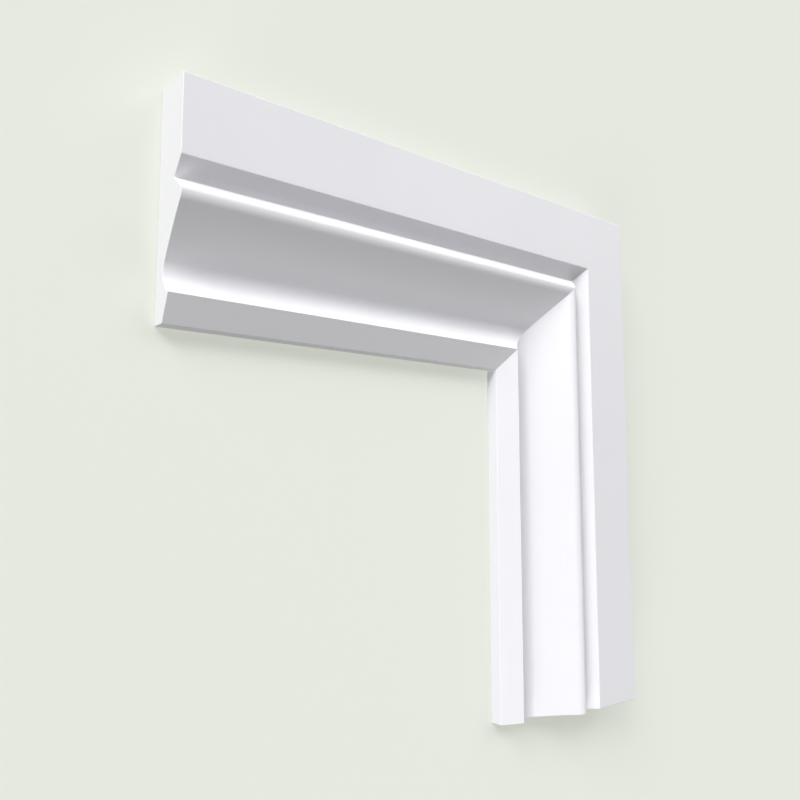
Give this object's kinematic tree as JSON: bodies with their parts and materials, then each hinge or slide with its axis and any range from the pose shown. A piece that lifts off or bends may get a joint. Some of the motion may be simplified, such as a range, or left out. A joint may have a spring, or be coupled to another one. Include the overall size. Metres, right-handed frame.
{
  "type": "architrave moulding corner",
  "caption": "Mitred corner of white-painted architrave: a head and a leg of one moulding with a flat outer band, a quirk, a rounded nose, a long cove and a bevelled inner edge.",
  "frame": {"origin": "on the floor, below the middle of the rectangle that the corner's two arms span, with the moulding lying on its flat back", "axes": "+X along the head towards the mitre, +Y up the leg towards the mitre, +Z out from the flat back through the moulded face"},
  "size_m": [0.349, 0.3466, 0.0264],
  "materials": {
    "white_paint": "smooth machined stock under satin white paint"
  },
  "bodies": {
    "root": {"head_architrave": "white_paint", "leg_architrave": "white_paint"}
  },
  "joints": []
}
